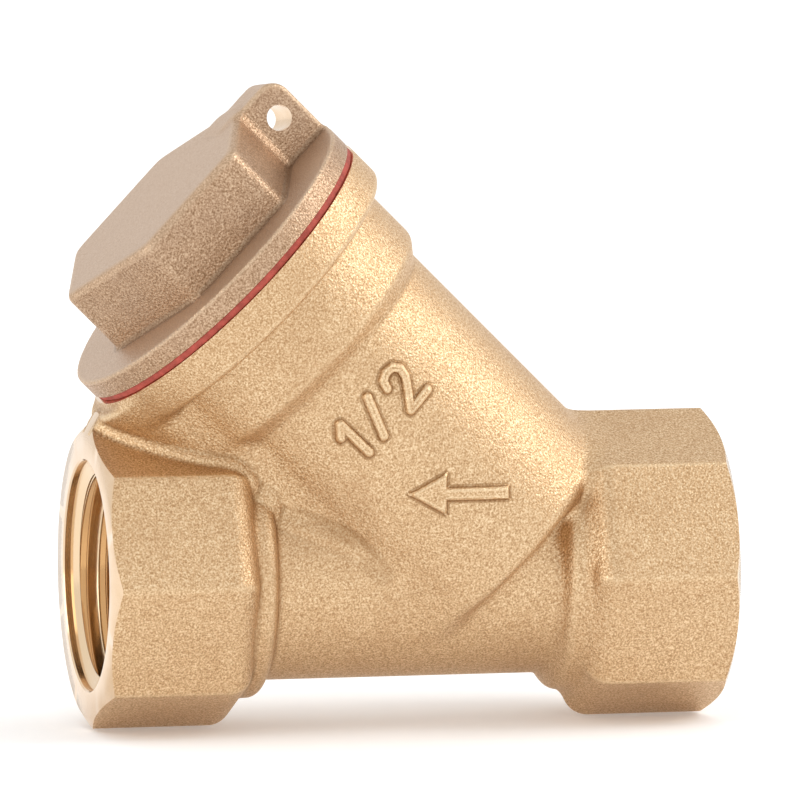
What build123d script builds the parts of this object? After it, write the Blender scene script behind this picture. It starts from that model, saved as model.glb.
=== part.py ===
from build123d import *

import os
from math import cos, hypot, radians, sin, tan

# Y-pattern water strainer for half-inch pipe, in millimetres: a forged brass body, a screwed
# brass cap, a fibre gasket and a rolled, pierced screen.
# The origin is the centre of the inlet end face, on the run axis. Water enters at X = 0 and
# leaves at X = -body_length. The branch leans back over the outlet, +Z up.

# Run: two octagonal ends joined by a round tube
body_length = 58.0
octagon_flats = 26.0
octagon_length = 13.6
octagon_back_round = 2.4
octagon_corner_round = 0.5
face_bevel_angle = 30.0
neck_ring_radius = 11.5
neck_ring_length = 2.0
neck_ring_round = 0.7
run_bore_radius = 7.9
run_wall = 2.0

# Pipe threads, half-inch parallel: the plain bore is at the major diameter
pipe_thread_radius = 10.48
pipe_thread_depth = 11.5
pipe_mouth_chamfer = 0.45
drill_point_angle = 59.0

# Branch: crosses the run axis this far behind the inlet face and leans back at this angle
branch_offset = 17.9
branch_angle = 45.0
branch_start = 2.65
branch_start_round = 1.2
branch_wall = 2.2
shoulder_start = 27.6
shoulder_length = 1.9
shoulder_round = 2.2
neck_wall = 1.95
collar_lip = 1.7
collar_height = 3.6
collar_round = 1.6
seat_height = 38.55
seat_edge_chamfer = 0.3

# Web that fills the acute corner between the branch and the outlet end
web_half_width = 9.2
web_overhang = 2.1
web_top_drop = 0.5
crease_round = 1.5

# Water way and screen seat, measured along the branch axis
screen_seat = 3.4
screen_socket_depth = 1.4
screen_roof_drop = 0.75
water_hole_ledge = 2.1
water_hole_start = -2.8
inlet_bore_overrun = 3.3
partition = 4.8

# Cap thread, 25 mm by 1.5: drawn at its major diameter
plug_wall = 2.95
cap_thread_clearance = 0.1
chamber_step = 1.4
cap_thread_length = 8.0
cap_thread_runout = 1.0
cap_mouth_chamfer = 0.5
cap_relief_depth = 0.85
cap_relief_length = 1.2

# Gasket
gasket_thickness = 0.65
gasket_edge_inset = 0.47
gasket_thread_clearance = 0.25

# Cap: flange, hexagon for a 21 mm spanner, and the lug for a seal wire
flange_edge_inset = 0.1
flange_thickness = 1.95
flange_round = 0.6
hexagon_flats = 21.0
hexagon_height = 6.85
hexagon_corner_round = 1.2
hexagon_top_round = 0.8
lug_angle = 9.0
lug_thickness = 4.6
lug_corner_round = 2.0
lug_rim_gap = 0.2
seal_hole_radius = 1.2
seal_hole_rim = 2.5
seal_hole_height = 3.75
cap_top_wall = 3.6
cap_core_step = 1.1

# Screen: one pierced sheet rolled into a tube, lapped on the inside
screen_radius = 9.3
screen_thickness = 0.45
screen_clearance = 0.2
screen_end_play = 0.3
screen_lap_width = 2.2
screen_plain_end = 1.8
window_columns = 8
window_width = 4.4
window_height = 4.4
window_rib = 1.9

# Places worked out from the sizes above
run_radius = run_bore_radius + run_wall
middle = -body_length / 2
outlet_face = -body_length
lean_sin = sin(radians(branch_angle))
lean_cos = cos(radians(branch_angle))
branch_root = (-branch_offset, 0, 0)
branch_out = (-lean_cos, 0, lean_sin)
branch_side = (lean_sin, 0, lean_cos)
branch_plane = Plane(origin=branch_root, x_dir=branch_side, z_dir=branch_out)
branch_section = Plane(origin=branch_root, x_dir=branch_side, z_dir=(0, -1, 0))
screen_socket_radius = screen_radius + screen_clearance
water_hole_radius = screen_radius - water_hole_ledge
cap_core_radius = screen_radius - cap_core_step
cap_thread_radius = screen_socket_radius + plug_wall
cap_bore_radius = cap_thread_radius + cap_thread_clearance
chamber_radius = cap_bore_radius - chamber_step
branch_radius = chamber_radius + branch_wall
neck_radius = cap_bore_radius + neck_wall
collar_radius = neck_radius + collar_lip
gasket_radius = collar_radius - gasket_edge_inset
gasket_hole_radius = cap_thread_radius + gasket_thread_clearance
flange_radius = collar_radius - flange_edge_inset
collar_base = seat_height - collar_height
web_offset = collar_radius + web_overhang - web_half_width
web_start = web_offset + 1
flange_base = seat_height + gasket_thickness
flange_top = flange_base + flange_thickness
cap_top = flange_top + hexagon_height
socket_roof = flange_top - screen_roof_drop
screen_length = socket_roof - screen_end_play - screen_seat
branch_axis = Axis(branch_root, branch_out)
lug_way = branch_plane.x_dir * cos(radians(lug_angle)) + branch_plane.y_dir * sin(radians(lug_angle))
lug_section = Plane(origin=branch_root, x_dir=lug_way, z_dir=lug_way.cross(branch_plane.z_dir))
lug_reach = flange_radius - lug_rim_gap
seal_hole_place = lug_reach - seal_hole_rim
plug_end = flange_base - cap_thread_length
cap_bore_floor = plug_end - cap_thread_runout
chamber_floor = screen_seat + screen_socket_depth
inlet_bore_end = -branch_offset - inlet_bore_overrun
outlet_bore_end = -branch_offset - (screen_seat + water_hole_radius) * lean_cos - partition
window_pitch = window_height + window_rib
window_rows = int((screen_length - 2 * screen_plain_end + window_rib) / window_pitch)


def corner(sketch, x, y):
    """The corner of a sketch that lies nearest to a point of its plane."""
    return sketch.vertices().sort_by_distance(Vector(x, y))[0]


def on_branch_side(edge):
    """Whether an edge lies on the branch's round wall, away from its middle plane."""
    place = branch_plane.to_local_coords(edge.center())
    return abs(hypot(place.X, place.Y) - branch_radius) < 0.01 and abs(place.Y) > web_half_width / 2


def drilled_way(face, inward, bore_end):
    """Half outline of a thread socket and the bore behind it; inward is -1 or 1 along X."""
    point_length = (pipe_thread_radius - run_bore_radius) / tan(radians(drill_point_angle))
    return [
        (face, 0),
        (face, pipe_thread_radius + pipe_mouth_chamfer),
        (face + inward * pipe_mouth_chamfer, pipe_thread_radius),
        (face + inward * pipe_thread_depth, pipe_thread_radius),
        (face + inward * (pipe_thread_depth + point_length), run_bore_radius),
        (bore_end, run_bore_radius),
        (bore_end, 0),
    ]


def octagonal_end():
    """One octagonal end with its turned face at X = 0, its neck ring and half of the run tube."""
    with BuildPart() as end:
        with BuildSketch(Plane.YZ):
            RegularPolygon(octagon_flats / 2, 8, major_radius=False)
        extrude(amount=-octagon_length)
        fillet(end.faces().sort_by(Axis.X)[0].edges(), octagon_back_round)
        fillet(end.edges().filter_by(Axis.X), octagon_corner_round)
        ring_end = -octagon_length - neck_ring_length
        with BuildSketch(Plane.XZ) as tube:
            with BuildLine():
                Polyline(
                    (-octagon_back_round, 0),
                    (-octagon_back_round, neck_ring_radius),
                    (ring_end, neck_ring_radius),
                    (ring_end, run_radius),
                    (middle, run_radius),
                    (middle, 0),
                    close=True,
                )
            make_face()
            fillet(corner(tube, ring_end, neck_ring_radius), neck_ring_round)
            fillet(corner(tube, ring_end, run_radius), neck_ring_round)
        revolve(axis=Axis.X)
        reach = octagon_flats
        with BuildSketch(Plane.XZ):
            with BuildLine():
                Polyline(
                    (0, octagon_flats / 2),
                    (0, octagon_flats / 2 + reach),
                    (-reach * tan(radians(face_bevel_angle)), octagon_flats / 2 + reach),
                    close=True,
                )
            make_face()
        revolve(axis=Axis.X, mode=Mode.SUBTRACT)
    return end.part


end_piece = octagonal_end()

with BuildPart() as body:
    # Branch, turned about its leaning axis
    with BuildSketch(branch_section) as outline:
        with BuildLine():
            Polyline(
                (0, branch_start),
                (branch_radius, branch_start),
                (branch_radius, shoulder_start),
                (neck_radius, shoulder_start + shoulder_length),
                (neck_radius, collar_base),
                (collar_radius, collar_base),
                (collar_radius, seat_height - seat_edge_chamfer),
                (collar_radius - seat_edge_chamfer, seat_height),
                (0, seat_height),
                close=True,
            )
        make_face()
        fillet(corner(outline, branch_radius, branch_start), branch_start_round)
        fillet(corner(outline, branch_radius, shoulder_start), shoulder_round)
        fillet(corner(outline, neck_radius, shoulder_start + shoulder_length), shoulder_round)
        fillet(corner(outline, collar_radius, collar_base), collar_round)
    revolve(axis=branch_axis)
    # Web under the collar, its nose as round as the run tube that it grows out of
    with BuildSketch(branch_plane.offset(web_start)):
        with Locations((-web_offset, 0)):
            Circle(web_half_width)
        with Locations((-web_offset / 2, 0)):
            Rectangle(web_offset, 2 * web_half_width)
    extrude(amount=seat_height - web_top_drop - web_start)
    creases = body.edges().filter_by(branch_axis).filter_by(on_branch_side)
    fillet(creases, crease_round)
    # Both ends of the run
    add(end_piece)
    mirror(end_piece, about=Plane.YZ.offset(middle))

    # Thread sockets and water ways, drilled from both end faces
    with BuildSketch(Plane.XZ):
        with BuildLine():
            Polyline(drilled_way(0, -1, inlet_bore_end), close=True)
        make_face()
    revolve(axis=Axis.X, mode=Mode.SUBTRACT)
    with BuildSketch(Plane.XZ):
        with BuildLine():
            Polyline(drilled_way(outlet_face, 1, outlet_bore_end), close=True)
        make_face()
    revolve(axis=Axis.X, mode=Mode.SUBTRACT)
    # Cavity bored down the branch: cap thread, chamber, screen socket and water hole
    with BuildSketch(branch_section):
        with BuildLine():
            Polyline(
                (0, water_hole_start),
                (water_hole_radius, water_hole_start),
                (water_hole_radius, screen_seat),
                (screen_socket_radius, screen_seat),
                (screen_socket_radius, chamber_floor),
                (chamber_radius, chamber_floor),
                (chamber_radius, cap_bore_floor),
                (cap_bore_radius, cap_bore_floor),
                (cap_bore_radius, seat_height - cap_mouth_chamfer),
                (cap_bore_radius + cap_mouth_chamfer, seat_height),
                (0, seat_height),
                close=True,
            )
        make_face()
    revolve(axis=branch_axis, mode=Mode.SUBTRACT)

with BuildPart() as gasket:
    with BuildSketch(branch_plane.offset(seat_height)):
        Circle(gasket_radius)
        Circle(gasket_hole_radius, mode=Mode.SUBTRACT)
    extrude(amount=gasket_thickness)

with BuildPart() as cap:
    # Hexagon, with a vertex at the lug
    with BuildSketch(branch_plane.offset(flange_top)):
        RegularPolygon(hexagon_flats / 2, 6, major_radius=False, rotation=lug_angle)
    extrude(amount=hexagon_height)
    fillet(cap.edges().filter_by(branch_axis), hexagon_corner_round)
    fillet(cap.faces().sort_by(branch_axis)[-1].edges(), hexagon_top_round)
    # Lug for the seal wire
    with BuildSketch(lug_section) as lug:
        with BuildLine():
            Polyline(
                (0, flange_top),
                (lug_reach, flange_top),
                (lug_reach, cap_top),
                (0, cap_top),
                close=True,
            )
        make_face()
        fillet(corner(lug, lug_reach, cap_top), lug_corner_round)
    extrude(amount=lug_thickness / 2, both=True)
    # Flange, threaded plug and the relief under the flange
    with BuildSketch(branch_section) as turned:
        with BuildLine():
            Polyline(
                (0, plug_end),
                (cap_thread_radius - cap_mouth_chamfer, plug_end),
                (cap_thread_radius, plug_end + cap_mouth_chamfer),
                (cap_thread_radius, flange_base - cap_relief_length),
                (cap_thread_radius - cap_relief_depth, flange_base - cap_relief_length),
                (cap_thread_radius - cap_relief_depth, flange_base),
                (flange_radius, flange_base),
                (flange_radius, flange_top),
                (0, flange_top),
                close=True,
            )
        make_face()
        fillet(corner(turned, flange_radius, flange_top), flange_round)
    revolve(axis=branch_axis)
    # Socket for the top of the screen, and the hollow core above it
    with BuildSketch(branch_section):
        with BuildLine():
            Polyline(
                (0, plug_end),
                (screen_socket_radius, plug_end),
                (screen_socket_radius, socket_roof),
                (cap_core_radius, socket_roof),
                (cap_core_radius, cap_top - cap_top_wall),
                (0, cap_top - cap_top_wall),
                close=True,
            )
        make_face()
    revolve(axis=branch_axis, mode=Mode.SUBTRACT)
    with BuildSketch(lug_section):
        with Locations((seal_hole_place, flange_top + seal_hole_height)):
            Circle(seal_hole_radius)
    extrude(amount=lug_thickness, both=True, mode=Mode.SUBTRACT)

with BuildPart() as screen:
    with BuildSketch(branch_plane.offset(screen_seat)):
        Circle(screen_radius)
        Circle(screen_radius - screen_thickness, mode=Mode.SUBTRACT)
    extrude(amount=screen_length)
    # Lap of the rolled sheet, inside the tube and between two columns of windows
    with BuildSketch(branch_plane.offset(screen_seat)):
        with Locations((0, screen_radius - 1.25 * screen_thickness)):
            Rectangle(screen_lap_width, 1.5 * screen_thickness)
    extrude(amount=screen_length)
    # Windows, a column of them through both walls at each step round the tube
    middle_height = screen_seat + screen_length / 2
    centre = branch_plane.origin + branch_plane.z_dir * middle_height
    for column in range(window_columns // 2):
        angle = radians((column + 0.5) * 360 / window_columns)
        toward = branch_plane.x_dir * cos(angle) + branch_plane.y_dir * sin(angle)
        with BuildSketch(Plane(origin=centre, x_dir=branch_plane.z_dir, z_dir=toward)):
            with GridLocations(window_pitch, 0, window_rows, 1):
                Rectangle(window_height, window_width)
        extrude(amount=screen_radius + 1, both=True, mode=Mode.SUBTRACT)

os.makedirs("parts", exist_ok=True)
for name, piece in {"body": body, "gasket": gasket, "cap": cap, "screen": screen}.items():
    piece.part.label = name
    export_step(piece.part, f"parts/{name}.step")
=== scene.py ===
"""A half-inch Y-pattern water strainer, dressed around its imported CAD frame."""

import logging
import math
from collections.abc import Callable, Sequence
from dataclasses import dataclass
from enum import Enum

import bmesh
import bpy
import numpy as np
from mathutils import Matrix, Vector


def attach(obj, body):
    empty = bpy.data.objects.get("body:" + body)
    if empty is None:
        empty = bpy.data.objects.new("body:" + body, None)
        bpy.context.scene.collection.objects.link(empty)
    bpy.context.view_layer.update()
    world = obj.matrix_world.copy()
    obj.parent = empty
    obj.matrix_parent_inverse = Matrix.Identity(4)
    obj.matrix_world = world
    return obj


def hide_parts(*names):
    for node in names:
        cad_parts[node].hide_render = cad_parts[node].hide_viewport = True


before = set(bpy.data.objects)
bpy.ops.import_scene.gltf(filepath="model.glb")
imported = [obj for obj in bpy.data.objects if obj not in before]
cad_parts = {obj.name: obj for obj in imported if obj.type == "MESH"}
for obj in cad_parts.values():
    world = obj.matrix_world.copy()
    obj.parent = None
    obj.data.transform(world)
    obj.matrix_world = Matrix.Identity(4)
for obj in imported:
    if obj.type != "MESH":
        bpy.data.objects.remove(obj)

LOG = logging.getLogger("strainer")
MM = 0.001

# Lengths in the classes below are millimetres, in the row's frame: origin at the centre of the
# inlet face, +X out of the inlet, +Z up, the branch leaning back over the outlet.
BODY_LENGTH = 58.0
BRANCH_OFFSET = 17.9
LEAN = math.sqrt(0.5)
SEAT_HEIGHT = 38.55
FLANGE_BASE = 39.2
SCREEN_SEAT = 3.4
SCREEN_TOP = 40.1

# material numbers of a forging, and the bend in degrees from which its edges are sharp
FORGED, MACHINED = 0, 1
CREASE = 32
# a face is as forged if it lies this near the skin and faces at least this much the same way
FORGED_GAP, FORGED_FACING = 0.25, 0.6
# what a forging's points say of how sharply the skin bends (1 / mm), and how far apart that is felt
BEND, BEND_REACH = "bend", 0.25
# settling: how far apart a slope is felt, the least square of a slope that is trusted, the longest step
# of a point, and how far it first moves to the middle of its neighbours
SLOPE_REACH, LEAST_SLOPE, LONGEST_STEP, EVENING = 0.02, 0.25, 0.8, 0.5
# solids that are fused or cut reach this far into each other, and a cutting thread's core is this much
# thinner than the bore that it joins
OVERLAP, CORE_LESS = 0.1, 0.06
# a point of an outline this near the axis is on it
ON_AXIS = 1e-6
FAR = 1e9

Field = Callable[[np.ndarray], np.ndarray]


class Cut(Enum):
    """How one solid works on another."""

    TAKE = "DIFFERENCE"
    JOIN = "UNION"
    KEEP = "INTERSECT"


class Rides(Enum):
    """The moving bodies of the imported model."""

    HOUSING = "housing"
    SCREEN_TUBE = "screen_tube"
    SEAL_RING = "seal_ring"
    SCREW_CAP = "screw_cap"


@dataclass(frozen=True)
class Way:
    """An axis of the strainer with two directions square to it."""

    root: tuple[float, float, float]
    out: tuple[float, float, float]
    side: tuple[float, float, float]

    @property
    def depth(self) -> np.ndarray:
        """The direction square to out and side, right-handed."""
        return np.cross(self.out, self.side)

    def local(self, points: np.ndarray) -> tuple[np.ndarray, np.ndarray, np.ndarray]:
        """Takes points to this axis.

        Args:
            points: N by 3 places in the row's frame.

        Returns:
            Their distances along side, depth and out.
        """
        offset = points - np.array(self.root)
        return offset @ np.array(self.side), offset @ self.depth, offset @ np.array(self.out)

    def place(self, along: np.ndarray, angle: np.ndarray, radius: np.ndarray) -> np.ndarray:
        """Takes cylindrical places about this axis to the row's frame.

        Args:
            along: distance along the axis.
            angle: angle from side towards depth, in radians.
            radius: distance from the axis.

        Returns:
            N by 3 places.
        """
        across = np.multiply.outer(radius * np.cos(angle), np.array(self.side))
        deep = np.multiply.outer(radius * np.sin(angle), self.depth)
        return np.array(self.root) + across + deep + np.multiply.outer(along, np.array(self.out))


RUN = Way((0.0, 0.0, 0.0), (1.0, 0.0, 0.0), (0.0, 0.0, 1.0))
BRANCH = Way((-BRANCH_OFFSET, 0.0, 0.0), (-LEAN, 0.0, LEAN), (LEAN, 0.0, LEAN))


# Solids: meshes in millimetres that are cut and joined before they become pieces


def solid(name: str, points: np.ndarray, faces: Sequence[Sequence[int]]) -> bpy.types.Object:
    """Makes a closed mesh object whose faces look outward.

    Args:
        name: the object's name.
        points: N by 3 places in millimetres.
        faces: vertex numbers of each face.

    Returns:
        The object, linked to the scene.
    """
    mesh = bpy.data.meshes.new(name)
    mesh.from_pydata(np.asarray(points, float).tolist(), [], faces)
    work = bmesh.new()
    work.from_mesh(mesh)
    bmesh.ops.recalc_face_normals(work, faces=work.faces)
    if work.calc_volume(signed=True) < 0:
        bmesh.ops.reverse_faces(work, faces=work.faces)
    work.to_mesh(mesh)
    work.free()
    made = bpy.data.objects.new(name, mesh)
    bpy.context.scene.collection.objects.link(made)
    return made


def baked(piece: bpy.types.Object) -> None:
    """Applies the modifiers of a piece to its mesh.

    Args:
        piece: the piece.
    """
    graph = bpy.context.evaluated_depsgraph_get()
    mesh = bpy.data.meshes.new_from_object(piece.evaluated_get(graph))
    piece.modifiers.clear()
    piece.data = mesh


def work_on(piece: bpy.types.Object, tool: bpy.types.Object, how: Cut) -> bpy.types.Object:
    """Cuts, joins or trims a solid with another, which is used up.

    Args:
        piece: the solid that stays.
        tool: the solid that works on it.
        how: what is done.

    Returns:
        The piece.
    """
    step = piece.modifiers.new("step", "BOOLEAN")
    step.solver = "MANIFOLD"
    step.operation = how.value
    step.object = tool
    baked(piece)
    bpy.data.objects.remove(tool)
    return piece


def eased(corners: Sequence[tuple[float, ...]], steps: int = 6) -> list[tuple[float, float]]:
    """Rounds the corners of an outline.

    Args:
        corners: (along, radius) or (along, radius, round) of each corner in order.
        steps: spans of each round.

    Returns:
        The outline's points.
    """
    made: list[tuple[float, float]] = []
    count = len(corners)
    for i, corner in enumerate(corners):
        here = Vector(corner[:2])
        if len(corner) < 3:
            made.append(tuple(here))
            continue
        back = (Vector(corners[i - 1][:2]) - here).normalized()
        ahead = (Vector(corners[(i + 1) % count][:2]) - here).normalized()
        half = back.angle(ahead) / 2
        start = here + back * (corner[2] / math.tan(half))
        end = here + ahead * (corner[2] / math.tan(half))
        hub = here + (back + ahead).normalized() * (corner[2] / math.sin(half))
        for k in range(steps + 1):
            spoke = start.lerp(end, k / steps) - hub
            made.append(tuple(hub + spoke.normalized() * corner[2]))
    return made


def turned(
    name: str,
    way: Way,
    outline: Sequence[tuple[float, float]],
    segments: int = 96,
    wander: Callable[[np.ndarray], np.ndarray] | None = None,
) -> bpy.types.Object:
    """Turns an outline about an axis.

    Args:
        name: the object's name.
        way: the axis.
        outline: (along, radius) points in order, closed; points on the axis have radius 0.
        segments: steps round the axis.
        wander: radius to add at each angle, for a piece that isn't quite round.

    Returns:
        The closed solid.
    """
    angles = np.arange(segments) * 2 * math.pi / segments
    extra = wander(angles) if wander else np.zeros(segments)
    points: list[np.ndarray] = []
    rings: list[list[int]] = []
    for along, radius in outline:
        first = len(points)
        if radius < ON_AXIS:
            points.extend(way.place(np.array([along]), np.zeros(1), np.zeros(1)))
            rings.append([first] * segments)
        else:
            points.extend(way.place(np.full(segments, along), angles, radius + extra))
            rings.append(list(range(first, first + segments)))
    faces = []
    for i, ring in enumerate(rings):
        other = rings[(i + 1) % len(rings)]
        if ring[0] == ring[1] and other[0] == other[1]:
            continue
        for k in range(segments):
            n = (k + 1) % segments
            face = [ring[k], ring[n], other[n], other[k]]
            faces.append(list(dict.fromkeys(face)))
    return solid(name, np.array(points), faces)


@dataclass(frozen=True)
class Thread:
    """A right-handed screw thread with slightly rounded crests and roots."""

    way: Way
    pitch: float
    root: float
    crest: float
    start: float
    end: float
    columns: int = 96

    # share of a pitch, and share of the way from root to crest
    FORM = ((0.0, 0.1), (0.08, 0.0), (0.16, 0.1), (0.5, 0.9), (0.58, 1.0), (0.66, 0.9))

    def rod(self, name: str) -> bpy.types.Object:
        """Makes a rod with this thread, longer than asked by its ragged ends.

        Args:
            name: the object's name.

        Returns:
            The closed solid.
        """
        rows = len(self.FORM)
        turns = math.ceil((self.end - self.start) / self.pitch) + 2
        last = turns * rows
        points, faces = [], []
        for i in range(self.columns):
            share = i / self.columns
            for j in range(last + 1):
                at, level = self.FORM[j % rows]
                along = self.start + self.pitch * (j // rows + at + share - 1)
                points.append((along, share * 2 * math.pi, self.root + level * (self.crest - self.root)))

        def number(column: int, row: int) -> int:
            """Number of a point of the thread."""
            return column * (last + 1) + row

        back = self.columns - 1
        for i in range(self.columns):
            # the last column meets the first one a turn further on
            n, turn = (0, rows) if i == back else (i + 1, 0)
            for j in range(last - turn):
                faces.append([number(i, j), number(n, j + turn), number(n, j + turn + 1), number(i, j + 1)])
        low = [number(i, 0) for i in range(self.columns)] + [number(0, j) for j in range(rows, 0, -1)]
        high = [number(i, last) for i in range(self.columns)]
        high += [number(back, j) for j in range(last - 1, last - rows - 1, -1)]
        for loop, along in ((low, points[0][0]), (high, points[high[0]][0])):
            hub = len(points)
            points.append((along, 0.0, 0.0))
            faces += [[loop[k], loop[(k + 1) % len(loop)], hub] for k in range(len(loop))]
        table = np.array(points)
        return solid(name, self.way.place(table[:, 0], table[:, 1], table[:, 2]), faces)


# Forgings: a field says how far a point stands outside the skin


def round_join(a: np.ndarray, b: np.ndarray, radius: float) -> np.ndarray:
    """Field of two forms joined with a fillet of this radius."""
    inside = np.hypot(np.maximum(radius - a, 0), np.maximum(radius - b, 0))
    return np.maximum(radius, np.minimum(a, b)) - inside


def round_meet(a: np.ndarray, b: np.ndarray, radius: float) -> np.ndarray:
    """Field of what two forms share, its edge rounded to this radius."""
    outside = np.hypot(np.maximum(radius + a, 0), np.maximum(radius + b, 0))
    return np.minimum(-radius, np.maximum(a, b)) + outside


def outline_field(
    outline: Sequence[tuple[float, float]], u: np.ndarray, v: np.ndarray
) -> np.ndarray:
    """Signed distance to a closed outline, negative inside.

    Args:
        outline: the outline's points in order.
        u: first coordinate of each place.
        v: second coordinate of each place.

    Returns:
        The distances.
    """
    nearest = np.full(u.shape, FAR)
    sign = np.ones(u.shape)
    for i, (u1, v1) in enumerate(outline):
        u0, v0 = outline[i - 1]
        du, dv = u1 - u0, v1 - v0
        share = np.clip(((u - u0) * du + (v - v0) * dv) / (du * du + dv * dv), 0, 1)
        nearest = np.minimum(nearest, (u - u0 - share * du) ** 2 + (v - v0 - share * dv) ** 2)
        over, under, left = v >= v0, v < v1, du * (v - v0) > dv * (u - u0)
        sign = np.where((over & under & left) | (~over & ~under & ~left), -sign, sign)
    return sign * np.sqrt(nearest)


def prism_field(
    angles: Sequence[float], reach: float, soft: float, a: np.ndarray, b: np.ndarray
) -> np.ndarray:
    """Field of a prism whose flats face these angles, its edges softened.

    Args:
        angles: the way each flat faces, in degrees.
        reach: distance of the flats from the axis.
        soft: softness of the edges.
        a: first coordinate of each place across the prism.
        b: second coordinate of each place across the prism.

    Returns:
        The distances.
    """
    flats = [a * math.cos(math.radians(q)) + b * math.sin(math.radians(q)) - reach for q in angles]
    return soft * np.logaddexp.reduce(np.array(flats) / soft, axis=0)


def slope(form: Field, points: np.ndarray) -> np.ndarray:
    """Finds which way a field rises.

    Args:
        form: the field.
        points: N by 3 places.

    Returns:
        The field's gradient at each place.
    """
    made = np.empty_like(points)
    for k in range(3):
        shift = np.zeros(3)
        shift[k] = SLOPE_REACH
        made[:, k] = (form(points + shift) - form(points - shift)) / (2 * SLOPE_REACH)
    return made


def settle(piece: bpy.types.Object, form: Field, passes: int, even: int = 0) -> None:
    """Moves a mesh's points on to the skin that a field describes.

    Args:
        piece: the piece, in millimetres.
        form: the field.
        passes: how often every point steps to the skin.
        even: how many of the passes first even out the spacing of the points.
    """
    mesh = piece.data
    points = np.empty(len(mesh.vertices) * 3)
    mesh.vertices.foreach_get("co", points)
    points = points.reshape(-1, 3)
    ends = np.empty(len(mesh.edges) * 2, int)
    mesh.edges.foreach_get("vertices", ends)
    first, second = ends.reshape(-1, 2).T
    degree = np.bincount(np.concatenate([first, second]), minlength=len(points))
    for turn in range(passes):
        if turn < even:
            total = np.zeros_like(points)
            for k in range(3):
                total[:, k] += np.bincount(first, points[second, k], len(points))
                total[:, k] += np.bincount(second, points[first, k], len(points))
            points += EVENING * (total / degree[:, None] - points)
        gap, way = form(points), slope(form, points)
        move = (gap / np.maximum((way**2).sum(1), LEAST_SLOPE))[:, None] * way
        points -= np.clip(move, -LONGEST_STEP, LONGEST_STEP)
    mesh.vertices.foreach_set("co", points.ravel())
    mesh.update()


def forged(
    name: str, blanks: Sequence[bpy.types.Object], form: Field, grid: float
) -> bpy.types.Object:
    """Forges a skin: rough blanks are fused into one even net of faces, then settled on a field.

    Args:
        name: the piece's name.
        blanks: closed solids that overlap and lie near the skin; they are used up.
        form: the field of the skin.
        grid: size of the net's meshes in millimetres.

    Returns:
        The closed skin, in millimetres.
    """
    piece = blanks[0]
    piece.name = name
    for blank in blanks[1:]:
        work_on(piece, blank, Cut.JOIN)
    step = piece.modifiers.new("net", "REMESH")
    step.mode = "VOXEL"
    step.voxel_size = grid
    baked(piece)
    settle(piece, form, passes=8, even=6)
    return piece


def refined(piece: bpy.types.Object, near: Callable[[np.ndarray], np.ndarray], cuts: int) -> None:
    """Divides the faces of a mesh where fine relief goes.

    Args:
        piece: the piece, in millimetres.
        near: which of N places lie where the relief goes.
        cuts: how many cuts each edge there gets.
    """
    work = bmesh.new()
    work.from_mesh(piece.data)
    work.faces.ensure_lookup_table()
    centres = np.array([face.calc_center_median() for face in work.faces])
    chosen = [work.faces[int(i)] for i in np.flatnonzero(near(centres))]
    edges = list({edge for face in chosen for edge in face.edges})
    bmesh.ops.subdivide_edges(work, edges=edges, cuts=cuts, use_grid_fill=True)
    bmesh.ops.triangulate(work, faces=[face for face in work.faces if len(face.verts) > 4])
    work.to_mesh(piece.data)
    work.free()


def part_finishes(piece: bpy.types.Object, skin: Field) -> None:
    """Gives the faces of a forging that a tool has cut the second of its materials.

    It also notes at each point how sharply the skin bends, above 0 on ridges and below 0 in creases.

    Args:
        piece: the forging, in millimetres.
        skin: the field of its forged skin.
    """
    mesh = piece.data
    centres = np.empty(len(mesh.polygons) * 3)
    mesh.polygons.foreach_get("center", centres)
    facing = np.empty(len(mesh.polygons) * 3)
    mesh.polygons.foreach_get("normal", facing)
    centres, facing = centres.reshape(-1, 3), facing.reshape(-1, 3)
    way = slope(skin, centres)
    way /= np.maximum(np.linalg.norm(way, axis=1), ON_AXIS)[:, None]
    rough = (np.abs(skin(centres)) < FORGED_GAP) & ((way * facing).sum(1) > FORGED_FACING)
    mesh.polygons.foreach_set("material_index", np.where(rough, FORGED, MACHINED))
    points = np.empty(len(mesh.vertices) * 3)
    mesh.vertices.foreach_get("co", points)
    points = points.reshape(-1, 3)
    bend = -6 * skin(points)
    for shift in np.vstack([np.eye(3), -np.eye(3)]) * BEND_REACH:
        bend += skin(points + shift)
    mesh.attributes.new(BEND, "FLOAT", "POINT").data.foreach_set("value", bend / BEND_REACH**2)


def finished(
    piece: bpy.types.Object,
    finishes: Sequence[bpy.types.Material],
    crease: float,
    body: Rides,
    node: str,
    skin: Field | None = None,
) -> bpy.types.Object:
    """Turns a solid into a piece of the model.

    Args:
        piece: the solid, in millimetres.
        finishes: materials in the order of the piece's material numbers.
        crease: edges bent more than this many degrees stay sharp.
        body: the body that the piece rides on.
        node: the CAD node that it stands for.
        skin: field of the forged skin, for a forging with two finishes.

    Returns:
        The piece, in metres.
    """
    mesh = piece.data
    mesh.materials.clear()
    for finish in finishes:
        mesh.materials.append(finish)
    if skin:
        part_finishes(piece, skin)
    mesh.transform(Matrix.Scale(MM, 4))
    for polygon in mesh.polygons:
        polygon.use_smooth = True
    mesh.set_sharp_from_angle(angle=math.radians(crease))
    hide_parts(node)
    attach(piece, body.value)
    sizes = len(mesh.vertices), len(mesh.polygons)
    LOG.info("%s: %d points, %d faces, rides on %s", piece.name, *sizes, body.value)
    return piece


# Finishes: sRGB colours, and patterns whose scales come from their real sizes


def linear(code: str) -> tuple[float, float, float, float]:
    """Turns an sRGB colour to linear light.

    Args:
        code: the colour, such as #C69A5B.

    Returns:
        Red, green, blue and 1.
    """
    parts = [int(code[i : i + 2], 16) / 255 for i in (1, 3, 5)]
    shades = [c / 12.92 if c <= 0.04045 else ((c + 0.055) / 1.055) ** 2.4 for c in parts]
    return (*shades, 1.0)


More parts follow.
